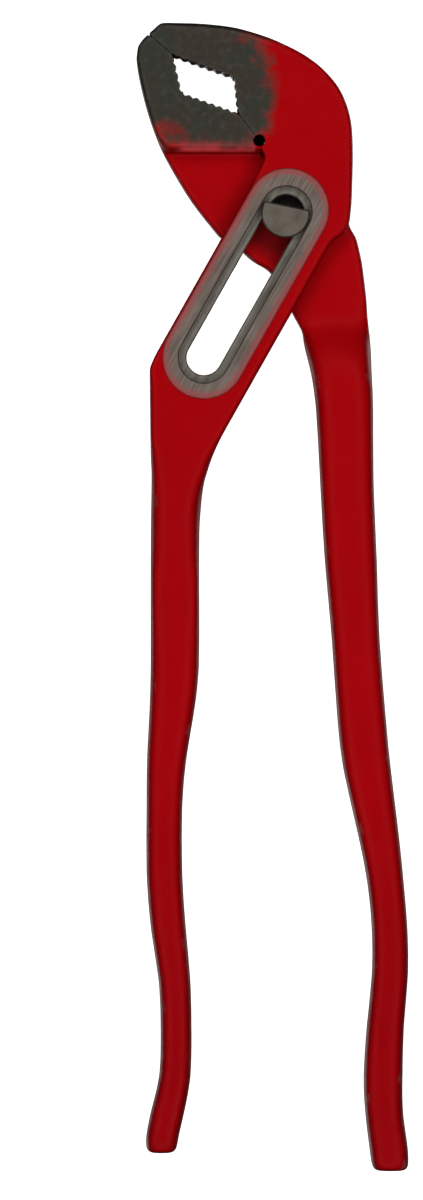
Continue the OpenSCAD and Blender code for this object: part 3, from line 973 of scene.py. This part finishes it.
def makeNut():
    cham, inner, low, high = nut["chamfer"], nut["hole"], nut["low"], nut["high"]
    flat = nut["acrossFlats"] / 2
    corner = flat / math.cos(math.pi / 6)
    rise = (corner - flat) * math.tan(nut["bevel"])
    body = slab("pivotNut", [polar(corner, 60 * i) for i in range(6)], low, high, nutSteel)
    carve(body, lathe("corners", [
        (flat, low), (corner, low + rise), (corner, high - rise), (flat, high)
    ], nutSteel), "INTERSECT")
    carve(body, lathe("hole", [
        (inner + 2 * cham, low - cham), (inner + cham, low), (inner, low + cham),
        (inner, high - cham), (inner + cham, high), (inner + 2 * cham, high + cham)
    ], nutSteel))
    return body


pivotBolt = makeBolt()
pivotWasher = makeWasher()
pivotNut = makeNut()
print("pivot made")

pieces = [
    (hookLever, "hook_lever", "hook", "red_enamel"),
    (jawLever, "jaw_lever", "jaw", "red_enamel"),
    (pivotBolt, "pivot_bolt", "pivot", "pivot_steel"),
    (pivotWasher, "pivot_washer", "pivot", "pivot_steel"),
    (pivotNut, "pivot_nut", "pivot", "pivot_steel")
]
for piece, node, body, slot in pieces:
    shadeEdges(piece)
    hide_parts(node)
    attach(piece, body)
    print(piece.name, len(piece.data.polygons), "faces,", [m.name for m in piece.data.materials])


# studio: pale floor, soft light, camera straight above as in the photograph

studio = {
    "floorSize": 6.0, "floor": 0.85, "floorGlow": 0.9, "floorBounce": 0.08, "floorRoughness": 0.9,
    "gap": 0.3 * mm, "fill": 0.05, "backdrop": 1.0, "aim": Vector((-0.016, -0.045, 0)),
    "ring": 6, "ringRadius": 0.8, "ringHeight": 1.2, "softbox": 0.6, "power": 3.6,
    "underPlace": Vector((0.8, 0.3)), "underPower": 9
}
view = {
    "lens": 300, "imageHeight": 1200, "imageWidth": 423, "mmPerPixel": 0.218,
    "pivotX": 285.3, "pivotY": 214.4, "level": 6.3 * mm
}


def makeFloor():  # a light table: it shows pale, and throws little light back up
    half = studio["floorSize"] / 2
    finish, tree, shader = newFinish("paleFloor")
    seen = addNode(tree, "ShaderNodeLightPath").outputs["Is Camera Ray"]
    tone = mixValue(tree, seen, studio["floorBounce"], studio["floor"])
    tree.links.new(grey(tree, tone), shader["Base Color"])
    shader["Emission Color"].default_value = (1, 1, 1, 1)
    tree.links.new(maths(tree, "MULTIPLY", seen, studio["floorGlow"]), shader["Emission Strength"])
    shader["Roughness"].default_value = studio["floorRoughness"]
    shader["Specular IOR Level"].default_value = 0
    # from below it isn't there, so the back shows
    out = next(n for n in tree.nodes if n.type == "OUTPUT_MATERIAL").inputs["Surface"]
    below = addNode(tree, "ShaderNodeNewGeometry").outputs["Backfacing"]
    shadow = addNode(tree, "ShaderNodeLightPath").outputs["Is Shadow Ray"]
    tree.links.new(addNode(tree, "ShaderNodeMixShader", {
        0: maths(tree, "MAXIMUM", below, shadow), 1: out.links[0].from_socket,
        2: addNode(tree, "ShaderNodeBsdfTransparent").outputs["BSDF"]
    }).outputs[0], out)
    floor = newPiece("floor", [
        (x, y, -studio["gap"]) for x, y in ((-half, -half), (half, -half), (half, half), (-half, half))
    ], [(0, 1, 2, 3)], finish)


def addSoftbox(side, height, power):
    place = Vector((side.x, side.y, height))
    lamp = bpy.data.lights.new("softbox", "AREA")
    lamp.size = studio["softbox"]
    lamp.energy = power
    stand = bpy.data.objects.new("softbox", lamp)
    stand.location = studio["aim"] + place
    stand.rotation_euler = (-place).to_track_quat("-Z", "Y").to_euler()
    stand.visible_camera = False
    scene.collection.objects.link(stand)


def makeLights():
    for i in range(studio["ring"]):
        side = polar(studio["ringRadius"], 360 * (i + 0.5) / studio["ring"])
        addSoftbox(side, studio["ringHeight"], studio["power"])
    for side in (-1, 1):  # for views of the back
        addSoftbox(side * studio["underPlace"], -studio["ringHeight"], studio["underPower"])
    world = bpy.data.worlds.new("studio")
    world.use_nodes = True
    tree = world.node_tree
    tree.nodes.clear()
    path = addNode(tree, "ShaderNodeLightPath")
    level = mixValue(tree, path.outputs["Is Camera Ray"], studio["fill"], studio["backdrop"])
    sky = addNode(tree, "ShaderNodeBackground", {"Color": (1, 1, 1, 1), "Strength": level})
    out = tree.nodes.new("ShaderNodeOutputWorld")
    tree.links.new(sky.outputs["Background"], out.inputs["Surface"])
    scene.world = world


def makeCamera():
    lens = bpy.data.cameras.new("camera")
    lens.lens = view["lens"]
    perPixel = view["mmPerPixel"] * mm
    camera = bpy.data.objects.new("camera", lens)
    camera.location = (
        (view["imageWidth"] / 2 - view["pivotX"]) * perPixel,
        (view["pivotY"] - view["imageHeight"] / 2) * perPixel,
        view["level"] + view["imageHeight"] * perPixel * view["lens"] / lens.sensor_width
    )
    scene.collection.objects.link(camera)
    scene.camera = camera


makeFloor()
makeLights()
makeCamera()
scene.view_settings.view_transform = "Standard"
print("studio ready")
